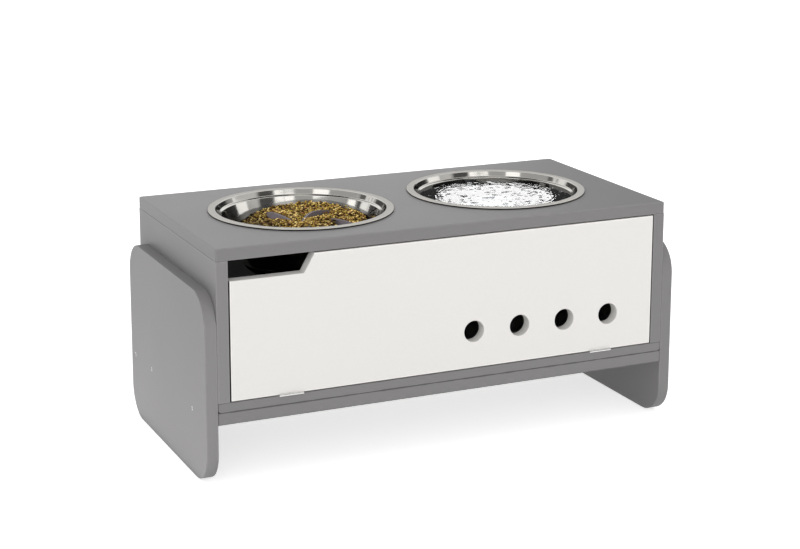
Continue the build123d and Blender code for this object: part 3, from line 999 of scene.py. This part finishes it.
def ripple(x, y):
    r = math.hypot(x, y)
    edge = wallRadius(waterSettings["level"])
    start = waterSettings["ringFrom"]
    broad, mid, wide, small = (patch(x, y, scale, layer) for scale, layer in waterSettings["waves"])
    dent = max(0.0, wide - waterSettings["dimpleFrom"]) * waterSettings["dimple"]
    dent += max(0.0, small - waterSettings["speckFrom"]) * waterSettings["speck"]
    wave = math.sin(2 * math.pi * r / waterSettings["ringPitch"] + 3 * broad)
    ring = waterSettings["ring"] * wave * max(0.0, (r - start) / (edge - start)) * (0.6 + broad)
    calm = max(0.0, min(1.0, (edge - r) / waterSettings["calmEdge"]))
    return (waterSettings["swell"] * (broad + waterSettings["secondSwell"] * mid) - dent + ring) * calm


def waterMaterial(settings):
    material, tree, shader = newMaterial("water")
    shader.inputs["Base Color"].default_value = settings["colour"]
    shader.inputs["Transmission Weight"].default_value = 1.0
    shader.inputs["IOR"].default_value = settings["ior"]
    shader.inputs["Roughness"].default_value = 0.0
    small = cloud(tree, surfacePlace(tree), settings["tremble"], 2.0)
    bump(tree, shader, small, settings["trembleDepth"], 0.5)
    return material


def makeWater(settings):
    centre = bowlCentre("water_bowl")
    level, into, count = settings["level"], settings["under"], settings["rings"]
    edge = wallRadius(level) + into
    surface = [Vector((edge * k / count, level)) for k in range(count + 1)]
    under = [p for p in offsetRun(bowlInside(bowlSettings), into) if p.y < level - 0.5]
    piece = lathe("water", under + surface[::-1], centre, settings["segments"])
    for v in piece.data.vertices:
        if abs(v.co.z - (centre[2] + level * mm)) < 1e-6:
            v.co.z += ripple((v.co.x - centre[0]) / mm, (v.co.y - centre[1]) / mm) * mm
    piece.data.materials.append(waterMaterial(settings))
    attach(piece, "water_bowl")
    return piece


makeWater(waterSettings)
print("water filled")


studioSettings = {
    "floorColour": (0.82, 0.82, 0.82, 1),
    "floorLift": 0.65,      # the floor looks white and keeps its shadow
    "floorRadius": 40.0,
    "floorSides": 96,
    "floorDrop": 0.0002,
    "sky": 0.8,
}


def seenFactor(tree):
    path = place(tree, "ShaderNodeLightPath").outputs
    mirror = maths(tree, "MAXIMUM", path["Is Glossy Ray"], path["Is Transmission Ray"])
    return maths(tree, "MAXIMUM", path["Is Camera Ray"], mirror)


def makeFloor(settings):
    count, radius, drop = settings["floorSides"], settings["floorRadius"], settings["floorDrop"]
    verts = [(0, 0, -drop)]
    for k in range(count):
        turn = 2 * math.pi * k / count
        verts.append((radius * math.cos(turn), radius * math.sin(turn), -drop))
    faces = [(0, 1 + k, 1 + (k + 1) % count) for k in range(count)]
    floor = meshPiece("studio_floor", verts, faces, smooth=False)
    material, tree = bareMaterial("studio_floor")
    matt = place(tree, "ShaderNodeBsdfDiffuse")
    matt.inputs["Color"].default_value = settings["floorColour"]
    glow = place(tree, "ShaderNodeEmission")
    feed(tree, glow.inputs["Strength"], maths(tree, "MULTIPLY", seenFactor(tree), settings["floorLift"]))
    both = place(tree, "ShaderNodeAddShader")
    tree.links.new(matt.outputs[0], both.inputs[0])
    tree.links.new(glow.outputs[0], both.inputs[1])
    tree.links.new(both.outputs[0], place(tree, "ShaderNodeOutputMaterial").inputs["Surface"])
    floor.data.materials.append(material)


def makeWorld(settings):
    world = bpy.data.worlds.new("studio_world")
    scene.world = world
    world.use_nodes = True
    tree = world.node_tree
    tree.nodes.clear()
    light = place(tree, "ShaderNodeBackground")
    light.inputs["Strength"].default_value = settings["sky"]
    white = place(tree, "ShaderNodeBackground")
    white.inputs["Strength"].default_value = 1.0
    for shader in (light, white):
        shader.inputs["Color"].default_value = (1, 1, 1, 1)
    mix = place(tree, "ShaderNodeMixShader")
    feed(tree, mix.inputs[0], seenFactor(tree))
    tree.links.new(light.outputs[0], mix.inputs[1])
    tree.links.new(white.outputs[0], mix.inputs[2])
    tree.links.new(mix.outputs[0], place(tree, "ShaderNodeOutputWorld").inputs["Surface"])


def direction(turn, rise):
    a, e = math.radians(turn), math.radians(rise)
    return Vector((math.sin(a) * math.cos(e), -math.cos(a) * math.cos(e), math.sin(e)))


def newLamp(name, data, facing):
    lamp = newObject(name, data)
    lamp.rotation_euler = facing.to_track_quat("Z", "Y").to_euler()
    lamp.visible_glossy = False
    lamp.visible_transmission = False
    return lamp


def softSun(name, turn, rise, strength, softness):
    data = bpy.data.lights.new(name, "SUN")
    data.energy = strength * math.pi
    data.angle = math.radians(softness)
    return newLamp(name, data, direction(turn, rise))


sunSettings = {
    # turn from the front towards +X, rise, strength, softness in degrees
    "front_light": (-14, 10, 0.31, 60),
    "left_edge_light": (-79, 13.7, 0.05, 8),
    "back_light": (165, 60, 0.10, 40),
    "food_key": (-95, 22, 0.5, 12),
}
# lamps that light these pieces alone
linkedPieces = {
    "food_key": ["dry_food_lower", "dry_food_upper", "shaded_food_bed", "slow_feeder_insert"],
    "rim_glow": ["food_bowl_spun", "water_bowl_spun"],
    "board_glow": ["top_board"],
    "water_glint": ["water"],
    "leg_fill": ["right_leg"],
    "left_edge_light": ["left_leg", "left_side_panel", "door"],
    "left_reflector": ["left_leg", "left_side_panel"],
    "inner_fill": ["back_panel"],
}
boxSettings = {
    # centre, the point it faces, width, height, strength
    "left_reflector": ((-0.41, 0.0, 0.002), (-0.41, 0, 0.6), 0.18, 1.8, 0.9),
    "leg_fill": ((0.0, 0.06, 0.036), (0.3, 0.06, 0.036), 0.24, 0.05, 4.0),
    "inner_fill": ((-0.2, -0.12, 0.14), (-0.12, 0.14, 0.14), 0.1, 0.1, 0.9),
}


def softBox(name, centre, aim, width, height, strength, shape="RECTANGLE"):
    data = bpy.data.lights.new(name, "AREA")
    data.shape = shape
    data.size, data.size_y = width, height
    data.energy = strength * math.pi * width * height * (math.pi / 4 if shape == "ELLIPSE" else 1)
    lamp = newLamp(name, data, Vector(centre) - Vector(aim))
    lamp.location = centre
    lamp.visible_camera = False
    return lamp


cardRules = {
    "middle": 0.28,         # the height that every rise counts from
    "facet": (4, 8),        # degrees along and up
    "topRise": 30,          # the shade has reached its upper value here
    "second": 0.04,         # a mirror image of a mirror image stays dark
}


def cardMaterial(name, low, high, bottom, top):
    material, tree = bareMaterial(name)
    glow = place(tree, "ShaderNodeEmission")
    depth = place(tree, "ShaderNodeLightPath").outputs["Ray Depth"]
    first = remap(tree, depth, 1.4, 1.6, 1.0, cardRules["second"])
    height = axes(tree, surfacePlace(tree))["Z"]
    level = remap(tree, height, low, high, bottom, top, smooth=True)
    feed(tree, glow.inputs["Strength"], maths(tree, "MULTIPLY", level, first))
    tree.links.new(glow.outputs[0], place(tree, "ShaderNodeOutputMaterial").inputs["Surface"])
    return material


def cardPoint(turn, rise, radius):
    flat = direction(turn, 0) * radius
    return (flat.x, flat.y, cardRules["middle"] + radius * math.tan(math.radians(rise)))


def cardPane(turns, rises, radius, tilt):
    # tilt gives what each turn adds to the rise
    (a0, a1), (e0, e1) = turns, rises
    alongStep, upStep = cardRules["facet"]
    across, up = max(2, int((a1 - a0) / alongStep)), max(2, int((e1 - e0) / upStep))
    verts, faces = [], []
    for v in range(up + 1):
        for u in range(across + 1):
            turn = a0 + (a1 - a0) * u / across
            verts.append(cardPoint(turn, e0 + (e1 - e0) * v / up + tilt(turn), radius))
    for v in range(up):
        for u in range(across):
            k = v * (across + 1) + u
            faces.append((k, k + 1, k + across + 2, k + across + 1))
    return verts, faces


def makeCard(name, settings):
    verts, faces = [], []
    (left, right), (low, high), radius = settings["turns"], settings["rises"], settings["radius"]
    lean = settings.get("lean", 0)
    panes, gap = settings.get("panes", (1, 1)), settings.get("gap", 0)
    wide, tall = (right - left) / panes[0], (high - low) / panes[1]
    for i in range(panes[0]):
        for j in range(panes[1]):
            turns = (left + i * wide + gap / 2, left + (i + 1) * wide - gap / 2)
            rises = (low + j * tall + gap / 2, low + (j + 1) * tall - gap / 2)
            start = len(verts)
            more, cells = cardPane(turns, rises, radius, lambda turn: lean * (turn - left))
            verts += more
            faces += [tuple(start + k for k in cell) for cell in cells]
    card = meshPiece(name, verts, faces)
    bottom, top = settings["strength"]
    heights = [cardPoint(0, rise, radius)[2] for rise in (low, min(high, cardRules["topRise"]))]
    card.data.materials.append(cardMaterial(name, *heights, bottom, top))
    card.visible_camera = False
    card.visible_diffuse = False
    card.visible_shadow = False


# cards that only mirrors see: from and to in turn and rise, strength at the bottom and at the top
cardSettings = {
    "back_low": {"turns": (130, 216), "rises": (-3, 15.5), "radius": 3.65, "strength": (0.09, 0.09)},
    "back_high": {"turns": (112, 226), "rises": (15.5, 78), "radius": 3.66, "strength": (0.55, 0.55)},
    "front_wall": {"turns": (-125, 50), "rises": (1, 64), "radius": 3.6, "strength": (0.02, 0.52)},
    "right_wall": {"turns": (50, 130), "rises": (1, 64), "radius": 3.6, "strength": (0.02, 0.75)},
    "dark_gap": {"turns": (22, 46), "rises": (2, 48), "radius": 3.5, "strength": (0.02, 0.10)},
    "left_gap": {"turns": (-128, -118), "rises": (2, 48), "radius": 3.5, "strength": (0.02, 0.2)},
    "window_middle": {"turns": (-13, 20), "rises": (22, 50), "radius": 3.3, "strength": (1.7, 1.7),
                      "panes": (2, 3), "gap": 1.0},
    "window_left": {"turns": (-68, -43), "rises": (33, 50), "radius": 3.3, "strength": (1.7, 1.7)},
    "window_low_left": {"turns": (-114, -100), "rises": (17, 25), "radius": 3.3, "strength": (1.7, 1.7)},
    "window_far_left": {"turns": (-139, -124), "rises": (12, 18), "radius": 3.3, "strength": (1.3, 1.3)},
    "window_right": {"turns": (70, 93), "rises": (19, 26), "radius": 3.3, "strength": (1.4, 1.4),
                     "lean": -0.23},
    "low_right": {"turns": (52, 125), "rises": (1, 22), "radius": 3.4, "strength": (0.02, 0.05),
                  "lean": -0.15},
}
# lamps whose mirror image shows: turn, rise and distance from the water's middle
glintSettings = {
    "rim_glow": {"turn": 166, "rise": 38, "distance": 2.4, "width": 6.0, "height": 1.8,
                 "strength": 0.6, "shape": "RECTANGLE", "diffuse": True},
    "board_glow": {"turn": 190, "rise": 12, "distance": 1.3, "width": 2.1, "height": 1.0,
                   "strength": 1.15, "shape": "RECTANGLE", "diffuse": False},
    "water_glint": {"turn": 152.6, "rise": 12.7, "distance": 0.5, "width": 0.183, "height": 0.042,
                    "strength": 3.4, "shape": "ELLIPSE", "diffuse": True},
}


def linkLamp(lamp, name):
    if name not in linkedPieces:
        return
    receivers = bpy.data.collections.new(name + "_on")
    for piece in linkedPieces[name]:
        receivers.objects.link(nodes[piece] if piece in nodes else scene.objects[piece])
    lamp.light_linking.receiver_collection = receivers


def makeGlint(name, settings):
    middle = Vector(bowlCentre("water_bowl"))
    spot = middle + direction(settings["turn"], settings["rise"]) * settings["distance"]
    lamp = softBox(name, spot, middle, settings["width"], settings["height"], settings["strength"],
                   settings["shape"])
    lamp.visible_glossy = True
    lamp.visible_diffuse = settings["diffuse"]
    linkLamp(lamp, name)


def makeStudio():
    makeFloor(studioSettings)
    makeWorld(studioSettings)
    for name, settings in sunSettings.items():
        linkLamp(softSun(name, *settings), name)
    for name, settings in boxSettings.items():
        linkLamp(softBox(name, *settings), name)
    for name, settings in cardSettings.items():
        makeCard(name, settings)
    for name, settings in glintSettings.items():
        makeGlint(name, settings)


makeStudio()
print("studio set")
